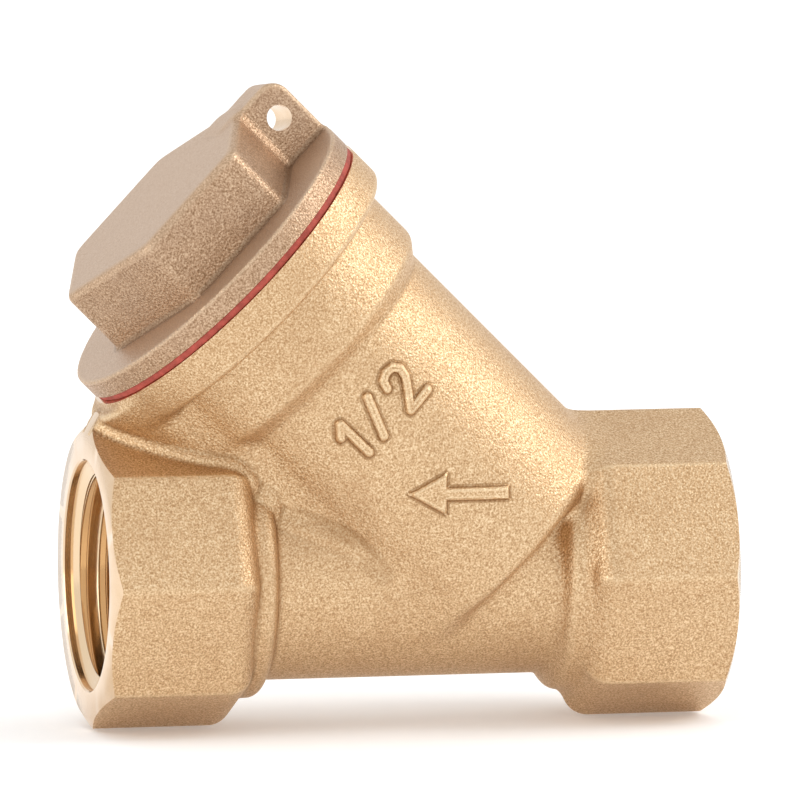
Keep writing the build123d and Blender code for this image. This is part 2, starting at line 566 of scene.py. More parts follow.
def per_metre(millimetres: float) -> float:
    """Pattern scale that repeats about once in this length."""
    return 1 / (millimetres * MM)


def add(
    tree: bpy.types.NodeTree, kind: str, inputs: dict | None = None, **settings: object
) -> bpy.types.Node:
    """Adds a node with its settings and links.

    Args:
        tree: the material's or world's nodes.
        kind: the node's type.
        inputs: value or output socket for each named or numbered input.
        settings: the node's own settings; stops are the places and colours of a ramp.

    Returns:
        The node.
    """
    node = tree.nodes.new(kind)
    for name, value in settings.items():
        if name == "stops":
            bands = node.color_ramp.elements
            while len(bands) < len(value):
                bands.new(0.5)
            for band, (place, colour) in zip(bands, value):
                band.position = place
                band.color = linear(colour)
        else:
            setattr(node, name, value)
    for name, value in (inputs or {}).items():
        if isinstance(value, bpy.types.NodeSocket):
            tree.links.new(value, node.inputs[name])
        else:
            node.inputs[name].default_value = value
    return node


def blank_material(name: str) -> tuple[bpy.types.Material, bpy.types.NodeTree, bpy.types.NodeSocket]:
    """Starts a material.

    Args:
        name: the material's name.

    Returns:
        The material, its empty node tree, and the place of each point on the piece.
    """
    made = bpy.data.materials.new(name)
    made.use_nodes = True
    tree = made.node_tree
    tree.nodes.clear()
    return made, tree, add(tree, "ShaderNodeTexCoord").outputs["Object"]


@dataclass(frozen=True)
class BlastedBrass:
    """Hot-forged brass, shot-blasted: the shot leaves a sparkling, close-set frost of small dents."""

    name: str = "forged_brass_shot_blasted"
    low: str = "#AE8A62"
    middle: str = "#D0AE86"
    high: str = "#ECD2AC"
    stain: str = "#B48D66"
    # colour of the creases: brown tarnish with painted shade
    crease_tarnish_and_shade: str = "#8F6840"
    # colour of the ridges: a painted highlight
    ridge_highlight: str = "#F2DAB4"
    # painted pale reflection of the white surroundings on the faces that look out along the branch, none if
    # empty
    top_reflection: str = ""
    # width of a shot's dent, drawn a little coarser than the real one so that it shows
    dent: float = 0.17
    # dents overlap, so their cells are this much wider than one dent
    cell: float = 1.4
    cloud: float = 9.0
    rough_low: float = 0.36
    rough_high: float = 0.56
    relief: float = 0.037

    def material(self) -> bpy.types.Material:
        """Builds the material.

        Returns:
            The material.
        """
        made, tree, place = blank_material(self.name)
        noise = {"Vector": place, "Scale": per_metre(self.dent), "Detail": 2.0, "Roughness": 0.6}
        dents = add(tree, "ShaderNodeTexNoise", noise).outputs["Fac"]
        wide, broad = per_metre(self.dent * self.cell), per_metre(self.cloud)
        cells = add(tree, "ShaderNodeTexVoronoi", {"Vector": place, "Scale": wide})
        clouds = add(tree, "ShaderNodeTexNoise", {"Vector": place, "Scale": broad, "Detail": 3.0})
        stops = ((0.32, self.low), (0.5, self.middle), (0.68, self.high))
        tone = add(tree, "ShaderNodeValToRGB", {"Fac": dents}, stops=stops).outputs["Color"]
        bend = add(tree, "ShaderNodeAttribute", attribute_name=BEND).outputs["Fac"]
        # what each layer follows, where it starts and is full, its full share, and its colour
        layers = [(clouds.outputs["Fac"], 0.5, 0.75, 0.35, self.stain)]
        if self.top_reflection:
            # the faces that look up the branch get a painted pale reflection
            normal = add(tree, "ShaderNodeNewGeometry").outputs["Normal"]
            facing = add(tree, "ShaderNodeVectorMath", {0: normal, 1: BRANCH.out}, operation="DOT_PRODUCT")
            layers.append((facing.outputs["Value"], 0.8, 0.97, 0.75, self.top_reflection))
        # creases darken with brown tarnish and painted shade, and ridges lighten with a painted highlight
        layers += [(bend, -0.5, -2.4, 0.6, self.crease_tarnish_and_shade), (bend, 0.5, 2.2, 0.45, self.ridge_highlight)]
        for level, start, full, most, colour in layers:
            span = {"Value": level, "From Min": start, "From Max": full, "To Max": most}
            share = add(tree, "ShaderNodeMapRange", span).outputs["Result"]
            mix = {"Factor": share, "A": tone, "B": linear(colour)}
            tone = add(tree, "ShaderNodeMix", mix, data_type="RGBA").outputs["Result"]
        span = {"From Min": 0.3, "From Max": 0.7, "To Min": self.rough_high, "To Max": self.rough_low}
        rough = add(tree, "ShaderNodeMapRange", {"Value": dents, **span})
        height = add(tree, "ShaderNodeMath", {0: cells.outputs["Distance"], 1: dents}, operation="ADD")
        relief = {"Height": height.outputs[0], "Distance": self.relief * MM, "Strength": 1.0}
        bump = add(tree, "ShaderNodeBump", relief)
        skin = add(
            tree,
            "ShaderNodeBsdfPrincipled",
            {
                "Base Color": tone,
                "Metallic": 1.0,
                "Roughness": rough.outputs["Result"],
                "Normal": bump.outputs["Normal"],
            },
        )
        add(tree, "ShaderNodeOutputMaterial", {"Surface": skin.outputs[0]})
        return made


@dataclass(frozen=True)
class TurnedBrass:
    """Brass cut on a lathe: bright, with fine rings round the axis where the tool passed."""

    name: str
    way: Way
    bright: str = "#E6CAAA"
    dull: str = "#DEBE98"
    # what lies nearer the axis than this keeps a film of cutting oil
    oiled: str = "#E6CAA6"
    oiled_radius: float = 10.5
    oil_edge: float = 0.1
    # advance of the tool in each turn, and the width of a handled patch
    feed: float = 0.12
    patch: float = 3.0
    # on the smoothest and on the roughest rings
    roughness: tuple[float, float] = (0.1125, 0.2025)
    relief: float = 0.004

    def material(self) -> bpy.types.Material:
        """Builds the material.

        Returns:
            The material.
        """
        made, tree, place = blank_material(self.name)
        root = tuple(c * MM for c in self.way.root)
        offset = add(tree, "ShaderNodeVectorMath", {0: place, 1: root}, operation="SUBTRACT").outputs[0]
        dots = [
            add(tree, "ShaderNodeVectorMath", {0: offset, 1: other}, operation="DOT_PRODUCT")
            for other in (self.way.out, offset)
        ]
        along, total = (dot.outputs["Value"] for dot in dots)
        square = add(tree, "ShaderNodeMath", {0: along, 1: along}, operation="MULTIPLY").outputs[0]
        rest = add(tree, "ShaderNodeMath", {0: total, 1: square}, operation="SUBTRACT").outputs[0]
        radius = add(tree, "ShaderNodeMath", {0: rest, 1: 0.5}, operation="POWER").outputs[0]
        travel = add(tree, "ShaderNodeMath", {0: radius, 1: along}, operation="ADD").outputs[0]
        turns = add(tree, "ShaderNodeMath", {0: travel, 1: per_metre(self.feed)}, operation="MULTIPLY")
        rings = add(
            tree,
            "ShaderNodeTexNoise",
            {"W": turns.outputs[0], "Scale": 1.0, "Detail": 2.0},
            noise_dimensions="1D",
        ).outputs["Fac"]
        patch = {"Vector": place, "Scale": per_metre(self.patch), "Detail": 4.0}
        wear = add(tree, "ShaderNodeTexNoise", patch)
        stops = ((0.35, self.dull), (0.6, self.bright))
        tone = add(tree, "ShaderNodeValToRGB", {"Fac": wear.outputs["Fac"]}, stops=stops).outputs["Color"]
        dry, wet = (self.oiled_radius + self.oil_edge) * MM, (self.oiled_radius - self.oil_edge) * MM
        inside = add(tree, "ShaderNodeMapRange", {"Value": radius, "From Min": dry, "From Max": wet})
        mix = {"Factor": inside.outputs["Result"], "A": tone, "B": linear(self.oiled)}
        tone = add(tree, "ShaderNodeMix", mix, data_type="RGBA").outputs["Result"]
        span = {"To Min": self.roughness[0], "To Max": self.roughness[1]}
        rough = add(tree, "ShaderNodeMapRange", {"Value": rings, **span})
        bump = add(tree, "ShaderNodeBump", {"Height": rings, "Distance": self.relief * MM})
        skin = add(
            tree,
            "ShaderNodeBsdfPrincipled",
            {
                "Base Color": tone,
                "Metallic": 1.0,
                "Roughness": rough.outputs["Result"],
                "Normal": bump.outputs["Normal"],
            },
        )
        add(tree, "ShaderNodeOutputMaterial", {"Surface": skin.outputs[0]})
        return made


@dataclass(frozen=True)
class VulcanisedFibre:
    """Red vulcanised fibre: dull, slightly mottled sheet, punched so that its edge is furry."""

    name: str = "red_vulcanised_fibre"
    dark: str = "#983E30"
    light: str = "#B95042"
    mottle: float = 0.8
    fibre: float = 0.12
    roughness: float = 0.7
    relief: float = 0.03

    def material(self) -> bpy.types.Material:
        """Builds the material.

        Returns:
            The material.
        """
        made, tree, place = blank_material(self.name)
        mottle, fur = (
            add(tree, "ShaderNodeTexNoise", {"Vector": place, "Scale": per_metre(size), "Detail": detail})
            for size, detail in ((self.mottle, 5.0), (self.fibre, 2.0))
        )
        stops = ((0.35, self.dark), (0.65, self.light))
        tone = add(tree, "ShaderNodeValToRGB", {"Fac": mottle.outputs["Fac"]}, stops=stops)
        bump = add(tree, "ShaderNodeBump", {"Height": fur.outputs["Fac"], "Distance": self.relief * MM})
        skin = add(
            tree,
            "ShaderNodeBsdfPrincipled",
            {
                "Base Color": tone.outputs["Color"],
                "Roughness": self.roughness,
                "Normal": bump.outputs["Normal"],
            },
        )
        add(tree, "ShaderNodeOutputMaterial", {"Surface": skin.outputs[0]})
        return made


@dataclass(frozen=True)
class StainlessSheet:
    """Cold-rolled stainless sheet: grey, satin, with the mill's fine lines along it."""

    name: str = "stainless_sheet_rolled"
    dark: str = "#9C9C9A"
    light: str = "#C9C8C4"
    line: float = 0.09
    roughness: float = 0.3
    relief: float = 0.002

    def material(self) -> bpy.types.Material:
        """Builds the material.

        Returns:
            The material.
        """
        made, tree, place = blank_material(self.name)
        along = add(tree, "ShaderNodeVectorMath", {0: place, 1: BRANCH.out}, operation="DOT_PRODUCT")
        lines = add(
            tree,
            "ShaderNodeTexNoise",
            {"W": along.outputs["Value"], "Scale": per_metre(self.line), "Detail": 2.0},
            noise_dimensions="1D",
        ).outputs["Fac"]
        stops = ((0.3, self.dark), (0.7, self.light))
        tone = add(tree, "ShaderNodeValToRGB", {"Fac": lines}, stops=stops)
        bump = add(tree, "ShaderNodeBump", {"Height": lines, "Distance": self.relief * MM})
        skin = add(
            tree,
            "ShaderNodeBsdfPrincipled",
            {
                "Base Color": tone.outputs["Color"],
                "Metallic": 1.0,
                "Roughness": self.roughness,
                "Normal": bump.outputs["Normal"],
            },
        )
        add(tree, "ShaderNodeOutputMaterial", {"Surface": skin.outputs[0]})
        return made


# Sub-assemblies


@dataclass(frozen=True)
class Body:
    """The forged body with its two pipe sockets, the chamber in its branch, and the marks raised on it."""

    octagon_flats: float = 26.0
    octagon_length: float = 13.6
    octagon_back_round: float = 2.4
    octagon_edge_soft: float = 0.06
    ring_radius: float = 11.5
    ring_end: float = 15.6
    ring_round: float = 1.2
    run_radius: float = 9.9
    run_bore: float = 7.9
    # fillets at the outlet and at the inlet, and the length over which one fades to the other
    neck_fillets: tuple[float, float] = (0.6, 1.2)
    branch_fillets: tuple[float, float] = (0.9, 1.4)
    fade: float = 16.0
    # how much tighter the octagon's fillet is than the ring's
    octagon_tighter: float = 0.2
    # how far the bores from the inlet and from the outlet run past the branch's axis
    inlet_bore_past: float = 3.3
    outlet_bore_short: float = 4.8
    pipe_crest: float = 10.48
    pipe_root: float = 9.32
    pipe_pitch: float = 1.814
    pipe_depth: float = 11.5
    mouth_radius: float = 10.6
    mouth_chamfer: float = 0.15
    first_crest: float = 1.3
    crest_rise: float = 0.6
    runout: float = 2.5
    # how far past the thread the bore starts and ends its step to the water way
    pipe_relief: tuple[float, float] = (0.2, 1.1)
    bevel_reach: float = 1.9
    bevel_drop: float = 0.577
    branch_radius: float = 13.35
    branch_start: float = 2.65
    shoulder: float = 27.6
    shoulder_rise: float = 1.5
    neck_radius: float = 14.5
    collar_radius: float = 16.2
    collar_base: float = 34.95
    # rounds of the branch's corners, from its foot to its collar
    branch_rounds: tuple[float, float, float, float, float] = (1.2, 1.0, 1.2, 0.1, 0.7)
    web_offset: float = 8.7
    web_half_width: float = 9.1
    web_start: float = 10.1
    web_top: float = 38.05
    web_inset: float = 0.3
    web_top_round: float = 0.5
    web_end_round: float = 0.4
    web_fillet: float = 0.8
    lip_radius: float = 0.7
    lip_fillet: float = 0.4
    # water hole under the screen, the socket that the screen stands in, and the chamber round it
    hole_start: float = -2.8
    hole_radius: float = 7.2
    socket_radius: float = 9.5
    socket_depth: float = 1.4
    chamber_radius: float = 11.15
    chamber_end: float = 30.2
    seat_chamfer_radius: float = 13.05
    facer_radius: float = 17.5
    # size of the net's meshes, and what the forging has more than the finished piece at its ends
    grid: float = 0.3
    stock: float = 0.5
    # how the blanks differ from the skin: wider at the octagons, and a shorter web
    blank_extra: float = 0.6
    web_blank_short: float = 0.9
    # how far each cutting thread starts before the metal, which sets where its crests lie
    pipe_lead: float = 2.0
    cap_lead: float = 1.4

    def branch_outline(self) -> list[tuple[float, float]]:
        """Draws the branch as forged, seat stock included.

        Returns:
            Half its outline, as (along, radius).
        """
        foot, shoulder, neck, under, collar = self.branch_rounds
        corners = [
            (self.branch_start, 0.0),
            (self.branch_start, self.branch_radius, foot),
            (self.shoulder, self.branch_radius, shoulder),
            (self.shoulder + self.shoulder_rise, self.neck_radius, neck),
            (self.collar_base, self.neck_radius, under),
            (self.collar_base, self.collar_radius, collar),
            (SEAT_HEIGHT + self.stock, self.collar_radius),
            (SEAT_HEIGHT + self.stock, 0.0),
        ]
        return eased(corners)

    def field(self, points: np.ndarray) -> np.ndarray:
        """Field of the forged skin.

        Args:
            points: N by 3 places.

        Returns:
            How far each stands outside the skin.
        """
        x, y, z = points.T
        depth = BODY_LENGTH / 2 - np.abs(x + BODY_LENGTH / 2)
        across = np.hypot(y, z)
        flats = [22.5 + 45 * k for k in range(8)]
        octagon = prism_field(flats, self.octagon_flats / 2, self.octagon_edge_soft, y, z)
        octagon = round_meet(octagon, depth - self.octagon_length, self.octagon_back_round)
        toward_inlet = np.clip((x + BODY_LENGTH / 2) / self.fade + 0.5, 0, 1)
        ends = (self.neck_fillets, self.branch_fillets)
        neck, foot = (outlet + (inlet - outlet) * toward_inlet for outlet, inlet in ends)
        ring = round_meet(across - self.ring_radius, depth - self.ring_end, self.ring_round)
        run = round_join(ring, across - self.run_radius, neck)
        run = round_join(run, octagon, neck - self.octagon_tighter)
        side, deep, along = BRANCH.local(points)
        branch = outline_field(self.branch_outline(), along, np.hypot(side, deep))
        reach = np.clip(side, -self.web_offset, 0)
        web = np.hypot(side - reach, deep) - self.web_half_width
        web = round_meet(web, np.maximum(along - self.web_top, self.web_start - along), self.web_top_round)
        web = round_meet(web, self.web_inset - depth, self.web_end_round)
        lip = np.hypot(run, web) - self.lip_radius
        leaning = round_join(branch, web, self.web_fillet)
        whole = round_join(round_join(run, leaning, foot), lip, self.lip_fillet)
        whole = np.maximum(whole, -depth - self.stock)
        return whole - Marks().height(side, deep, along)

    def blanks(self) -> list[bpy.types.Object]:
        """Makes rough solids near the forged skin.

        Returns:
            The closed solids of the run, the branch and the web.
        """
        corner, ring = self.octagon_flats / 2 + self.blank_extra, self.ring_radius - OVERLAP
        ring_end = self.ring_end - 2 * OVERLAP
        inlet = [
            (self.stock, 0.0),
            (self.stock, corner),
            (-self.octagon_length, corner),
            (-self.octagon_length, ring),
            (-ring_end, ring),
            (-ring_end, self.run_radius),
        ]
        outlet = [(-BODY_LENGTH - along, radius) for along, radius in reversed(inlet)]
        width = self.web_half_width
        bends = np.radians(np.arange(90, 271, 7.5))
        loop = [(width * math.cos(q) - self.web_offset, width * math.sin(q)) for q in bends]
        loop += [(0.0, -width), (0.0, width)]
        side, out, root = (np.array(way) for way in (BRANCH.side, BRANCH.out, BRANCH.root))
        levels = (self.web_start + self.web_blank_short, self.web_top)
        places = [root + side * a + BRANCH.depth * b + out * h for h in levels for a, b in loop]
        n = len(loop)
        faces = [[k, (k + 1) % n, n + (k + 1) % n, n + k] for k in range(n)]
        faces += [list(range(n)), list(range(n, 2 * n))]
        return [
            turned("run_blank", RUN, inlet + outlet),
            turned("branch_blank", BRANCH, self.branch_outline()),
            solid("web_blank", np.array(places), faces),
        ]

    def socket(self, face: float, inward: float, end: float) -> bpy.types.Object:
        """Makes the tool that faces one end, bevels its corners and bores and threads its socket.

        Args:
            face: place of the end face along the run.
            inward: -1 or 1, the way into the body along the run.
            end: where the bore behind the thread ends.

        Returns:
            The closed solid to take away.
        """
        rim = self.octagon_flats / 2
        path = [
            (-inward, 0.0),
            (-inward, rim + self.bevel_reach),
            (inward * self.bevel_reach * self.bevel_drop, rim + self.bevel_reach),
            (0.0, rim),
            (0.0, self.mouth_radius),
            (inward * self.mouth_chamfer, self.pipe_crest),
            (inward * (self.first_crest - self.crest_rise), self.pipe_crest),
            (inward * self.first_crest, self.pipe_root),
            (inward * (self.pipe_depth + self.pipe_relief[0]), self.pipe_root),
            (inward * (self.pipe_depth + self.pipe_relief[1]), self.run_bore),
            (end - face, self.run_bore),
            (end - face, 0.0),
        ]
        tool = turned("socket", RUN, [(face + a, r) for a, r in path])
        low, high = sorted((face, face + inward * self.pipe_depth))
        first, last = low - self.pipe_lead, high + self.pipe_lead
        core = self.pipe_root - CORE_LESS
        thread = Thread(RUN, self.pipe_pitch, core, self.pipe_crest, first, last).rod("thread")
        root, crest = self.pipe_root - OVERLAP, self.pipe_crest + OVERLAP
        envelope = [
            (self.first_crest, 0.0),
            (self.first_crest, root),
            (self.first_crest + 0.5, crest),
            (self.pipe_depth - self.runout, crest),
            (self.pipe_depth, root),
            (self.pipe_depth, 0.0),
        ]
        work_on(thread, turned("envelope", RUN, [(face + inward * a, r) for a, r in envelope]), Cut.KEEP)
        return work_on(tool, thread, Cut.JOIN)

    def chamber(self) -> bpy.types.Object:
        """Makes the tool that faces the seat and bores and threads the branch.

        Returns:
            The closed solid to take away.
        """
        thread = CapThread()
        crest, root = thread.female_crest, thread.female_root
        floor = SCREEN_SEAT + self.socket_depth
        mouth = self.seat_chamfer_radius
        path = [
            (self.hole_start, 0.0),
            (self.hole_start, self.hole_radius),
            (SCREEN_SEAT, self.hole_radius),
            (SCREEN_SEAT, self.socket_radius),
            (floor, self.socket_radius),
            (floor, self.chamber_radius),
            (self.chamber_end, self.chamber_radius),
            (self.chamber_end + root - self.chamber_radius, root),
            (SEAT_HEIGHT - (mouth - root), root),
            (SEAT_HEIGHT, mouth),
            (SEAT_HEIGHT, self.facer_radius),
            (SEAT_HEIGHT + 2, self.facer_radius),
            (SEAT_HEIGHT + 2, 0.0),
        ]
        tool = turned("chamber", BRANCH, path)
        low, high = self.chamber_end + 0.2, SEAT_HEIGHT + 0.5
        start, end = low - self.cap_lead, high + 0.5
        rod = Thread(BRANCH, thread.pitch, root - CORE_LESS, crest, start, end).rod("thread")
        over = crest + OVERLAP
        envelope = [(low, 0.0), (low, root), (low + 1, over), (high, over), (high, 0.0)]
        work_on(rod, turned("envelope", BRANCH, envelope), Cut.KEEP)
        return work_on(tool, rod, Cut.JOIN)

    def build(self) -> bpy.types.Object:
        """Forges, machines and dresses the body.

        Returns:
            The piece.
        """
        marks = Marks()
        piece = forged("body_forging", self.blanks(), self.field, self.grid)
        refined(piece, lambda p: marks.near(*BRANCH.local(p)), cuts=2)
        settle(piece, self.field, passes=4)
        brass = BlastedBrass().material()
        bright = TurnedBrass("turned_brass_sockets", RUN).material()
        inlet_end = -BRANCH_OFFSET - self.inlet_bore_past
        # the partition is what is left between the outlet's bore and the water hole
        outlet_end = -(BRANCH_OFFSET + (SCREEN_SEAT + self.hole_radius) * LEAN + self.outlet_bore_short)
        for tool in (
            self.socket(0.0, -1.0, inlet_end),
            self.socket(-BODY_LENGTH, 1.0, outlet_end),
            self.chamber(),
        ):
            work_on(piece, tool, Cut.TAKE)
        finishes = [brass, bright]
        return finished(piece, finishes, CREASE, Rides.HOUSING, "body", self.field)


@dataclass(frozen=True)
class Marks:
    """The bore size and a flow arrow, raised on the front of the branch."""

    height_mm: float = 0.48
    half_width: float = 0.42
    shoulder: float = 0.34
    tilt: float = 1.0
    # middles of the size and of the arrow, beside the branch's axis and along it, and how far each reaches
    size_place: tuple[float, float] = (0.07, 22.25)
    size_reach: tuple[float, float] = (6.2, 4.2)
    arrow_place: tuple[float, float] = (-0.2, 11.7)
    arrow_reach: float = 5.8
    # the marks are on the front, further from the axis than this
    front: float = 6.0

    # strokes of the digits about the middle of the line, before its tilt
    STROKES = (
        ((-4.2, 0.9), (-3.4, 1.85), (-3.4, -1.85)),
        ((-1.45, -1.75), (0.05, 1.8)),
        (
            (1.85, 1.0),
            (2.1, 1.7),
            (2.8, 2.05),
            (3.6, 1.9),
            (4.05, 1.25),
            (3.85, 0.45),
            (2.9, -0.8),
            (1.95, -1.95),
            (4.4, -1.95),
        ),
    )
    ARROW = ((-4.6, 0.55), (1.2, 0.55), (1.2, 1.9), (4.6, 0.0), (1.2, -1.9), (1.2, -0.55), (-4.6, -0.55))

    def near(self, side: np.ndarray, deep: np.ndarray, along: np.ndarray) -> np.ndarray:
        """Finds where the marks go.

        Args:
            side: distance of each place beside the branch's axis.
            deep: distance of each place behind the branch's axis.
            along: distance of each place along the branch's axis.

        Returns:
            Which places lie there.
        """
        wide, high = self.size_reach
        sized = (np.abs(side) < wide) & (np.abs(along - self.size_place[1]) < high)
        pointed = np.hypot(side - self.arrow_place[0], along - self.arrow_place[1]) < self.arrow_reach
        return (deep < -self.front) & (sized | pointed)

    def height(self, side: np.ndarray, deep: np.ndarray, along: np.ndarray) -> np.ndarray:
        """Height of the marks.

        Args:
            side: distance of each place beside the branch's axis.
            deep: distance of each place behind the branch's axis.
            along: distance of each place along the branch's axis.

        Returns:
            How far the skin is raised there.
        """
        made = np.zeros(side.shape)
        chosen = np.flatnonzero(self.near(side, deep, along))
        if not len(chosen):
            return made
        u, v = side[chosen], along[chosen]
        tilt = math.radians(self.tilt)
        a, b = u - self.size_place[0], v - self.size_place[1]
        a, b = a * math.cos(tilt) + b * math.sin(tilt), b * math.cos(tilt) - a * math.sin(tilt)
        gap = np.full(a.shape, FAR)
        for stroke in self.STROKES:
            for (a0, b0), (a1, b1) in zip(stroke, stroke[1:]):
                da, db = a1 - a0, b1 - b0
                share = np.clip(((a - a0) * da + (b - b0) * db) / (da * da + db * db), 0, 1)
                gap = np.minimum(gap, np.hypot(a - a0 - share * da, b - b0 - share * db))
        gap -= self.half_width
        c, d = u - self.arrow_place[0], v - self.arrow_place[1]
        c, d = (d - c) * LEAN, (c + d) * LEAN
        gap = np.minimum(gap, outline_field(self.ARROW, c, d))
        level = np.clip(0.5 - gap / self.shoulder, 0, 1)
        made[chosen] = self.height_mm * level * level * (3 - 2 * level)
        return made


@dataclass(frozen=True)
class CapThread:
    """The 25 mm by 1.5 thread that holds the cap."""

    pitch: float = 1.5
    male_crest: float = 12.38
    male_root: float = 11.5
    female_crest: float = 12.5
    female_root: float = 11.66


@dataclass(frozen=True)
class Cap:
    """The forged and turned screw cap with its hexagon and the lug for a seal wire."""

    flange_radius: float = 16.1
    flange_thickness: float = 1.95
    flange_round: float = 0.22
    flange_fillet: float = 0.45
    flats: float = 21.0
    height: float = 6.85
    face_round: float = 0.75
    edge_soft: float = 0.3
    lug_angle: float = 9.0
    lug_thickness: float = 4.6
    lug_start: float = 8.0
    lug_reach: float = 15.9
    # rounds of the lug's top corner, of its inner end and along its sides
    lug_rounds: tuple[float, float, float] = (1.9, 1.5, 0.4)
    lug_fillet: float = 0.8
    hole_place: float = 13.4
    hole_height: float = 3.75
    hole_radius: float = 1.2
    plug_length: float = 8.0
    plug_chamfer: float = 0.9
    # how far the thread starts before the plug, which sets where its crests lie
    lead: float = 2.2
    # how far the plug reaches into the flange
    plug_root: float = 0.8
    # length of the plain neck under the flange, and of its slope to the thread's crests
    neck: float = 1.2
    neck_slope: float = 0.4
    # the hollow: its width, the screen's socket in it, where that ends, and the metal left above
    hollow_radius: float = 8.2
    socket_radius: float = 9.5
    socket_end: float = 40.4
    crown: float = 3.6
    # size of the net's meshes, and what the forging has more than the finished piece under the flange
    grid: float = 0.26
    stock: float = 0.6

    @property
    def flange_top(self) -> float:
        """Height of the flange's upper face."""
        return FLANGE_BASE + self.flange_thickness

    @property
    def top(self) -> float:
        """Height of the hexagon's face."""
        return self.flange_top + self.height

    def lug_axes(self) -> tuple[np.ndarray, np.ndarray]:
        """Finds how the lug stands on the cap.

        Returns:
            The ways along and across the lug.
        """
        angle = math.radians(self.lug_angle)
        toward = np.array(BRANCH.side) * math.cos(angle) + BRANCH.depth * math.sin(angle)
        return toward, np.cross(np.array(BRANCH.out), toward)

    def field(self, points: np.ndarray) -> np.ndarray:
        """Field of the forged skin.

        Args:
            points: N by 3 places.

        Returns:
            How far each stands outside the skin.
        """
        side, deep, along = BRANCH.local(points)
        radius = np.hypot(side, deep)
        toward, across = self.lug_axes()
        offset = points - np.array(BRANCH.root)
        a, b = offset @ toward, offset @ across
        flats = [30 + 60 * k for k in range(6)]
        hexagon = prism_field(flats, self.flats / 2, self.edge_soft, a, b)
        hexagon = round_meet(hexagon, along - self.top, self.face_round)
        corner, inner, edge = self.lug_rounds
        lug = round_meet(a - self.lug_reach, along - self.top, corner)
        lug = round_meet(lug, self.lug_start - a, inner)
        lug = round_meet(lug, np.abs(b) - self.lug_thickness / 2, edge)
        flange = round_meet(radius - self.flange_radius, along - self.flange_top, self.flange_round)
        crown = round_join(hexagon, lug, self.lug_fillet)
        whole = round_join(crown, flange, self.flange_fillet)
        return np.maximum(whole, FLANGE_BASE - self.stock - along)

    def blanks(self) -> list[bpy.types.Object]:
        """Makes rough solids near the forged skin.

        Returns:
            The closed solids of the hexagon, the flange and the lug.
        """
        low = FLANGE_BASE - self.stock
        sizes = ((self.flats / math.sqrt(3), self.top), (self.flange_radius, self.flange_top))
        rod, disc = ([(low, 0.0), (low, radius), (high, radius), (high, 0.0)] for radius, high in sizes)
        hexagon = turned("cap_blank", BRANCH, rod, 6)
        turn = math.radians(self.lug_angle)
        for vertex in hexagon.data.vertices:
            side, deep, along = (float(c[0]) for c in BRANCH.local(np.array([vertex.co])))
            radius, angle = math.hypot(side, deep), math.atan2(deep, side) + turn
            vertex.co = BRANCH.place(np.array([along]), np.array([angle]), np.array([radius]))[0]
        toward, across = self.lug_axes()
        out, root = np.array(BRANCH.out), np.array(BRANCH.root)
        half, reach = self.lug_thickness / 2, self.lug_reach
        ring = ((0, -half), (reach, -half), (reach, half), (0, half))
        levels = (FLANGE_BASE + 2 * OVERLAP, self.top)
        places = [root + toward * a + across * b + out * h for h in levels for a, b in ring]
        faces = [[0, 1, 2, 3], [4, 5, 6, 7], [0, 1, 5, 4], [1, 2, 6, 5], [2, 3, 7, 6], [3, 0, 4, 7]]
        return [hexagon, turned("flange_blank", BRANCH, disc), solid("lug_blank", np.array(places), faces)]

    def plug(self) -> bpy.types.Object:
        """Makes the threaded plug under the flange, not yet hollow.

        Returns:
            The closed solid.
        """
        thread = CapThread()
        crest, root = thread.male_crest, thread.male_root
        end = FLANGE_BASE - self.plug_length
        plug = Thread(BRANCH, thread.pitch, root, crest, end - self.lead, FLANGE_BASE).rod("plug")
        envelope = [
            (end, 0.0),
            (end, root),
            (end + self.plug_chamfer, crest + OVERLAP),
            (FLANGE_BASE - self.neck - self.neck_slope, crest + OVERLAP),
            (FLANGE_BASE - self.neck, root + OVERLAP),
            (FLANGE_BASE + self.plug_root, root + OVERLAP),
            (FLANGE_BASE + self.plug_root, 0.0),
        ]
        return work_on(plug, turned("envelope", BRANCH, envelope), Cut.KEEP)

    def hollow(self) -> bpy.types.Object:
        """Makes the tool that hollows the plug and cuts the screen's socket.

        Returns:
            The closed solid to take away.
        """
        start, end = FLANGE_BASE - self.plug_length - 1, self.top - self.crown
        path = [
            (start, 0.0),
            (start, self.socket_radius),
            (self.socket_end, self.socket_radius),
            (self.socket_end, self.hollow_radius),
            (end, self.hollow_radius),
            (end, 0.0),
        ]
        return turned("hollow", BRANCH, path)

    def drill(self) -> bpy.types.Object:
        """Makes the tool that bores the lug for the seal wire.

        Returns:
            The closed solid to take away.
        """
        toward, across = self.lug_axes()
        height = self.flange_top + self.hole_height
        place = np.array(BRANCH.root) + toward * self.hole_place + np.array(BRANCH.out) * height
        reach, radius = 4.0, self.hole_radius
        path = [(-reach, 0.0), (-reach, radius), (reach, radius), (reach, 0.0)]
        return turned("drill", Way(tuple(place), tuple(across), tuple(toward)), path, 48)

    def build(self) -> bpy.types.Object:
        """Forges, machines and dresses the cap.

        Returns:
            The piece.
        """
        piece = forged("cap_forging", self.blanks(), self.field, self.grid)
        # below, the cap's crease colour is brown tarnish with painted shade, its ridge colour a painted
        # highlight, and its last colour a painted pale reflection on the faces that look up the branch
        brass = BlastedBrass(
            name="cap_brass_shot_blasted",
            low="#927456",
            middle="#B6967A",
            high="#D4B89A",
            stain="#9C8270",
            crease_tarnish_and_shade="#6E543E",
            ridge_highlight="#DCC2A4",
            top_reflection="#CDB59F",
        ).material()
        bright = TurnedBrass("turned_brass_cap", BRANCH).material()
        low, wide = FLANGE_BASE - 3, self.flange_radius + 1.9
        facer = turned("facer", BRANCH, [(low, 0.0), (low, wide), (FLANGE_BASE, wide), (FLANGE_BASE, 0.0)])
        work_on(piece, facer, Cut.TAKE)
        work_on(piece, self.plug(), Cut.JOIN)
        work_on(piece, self.hollow(), Cut.TAKE)
        work_on(piece, self.drill(), Cut.TAKE)
        finishes = [brass, bright]
        return finished(piece, finishes, CREASE, Rides.SCREW_CAP, "cap", self.field)


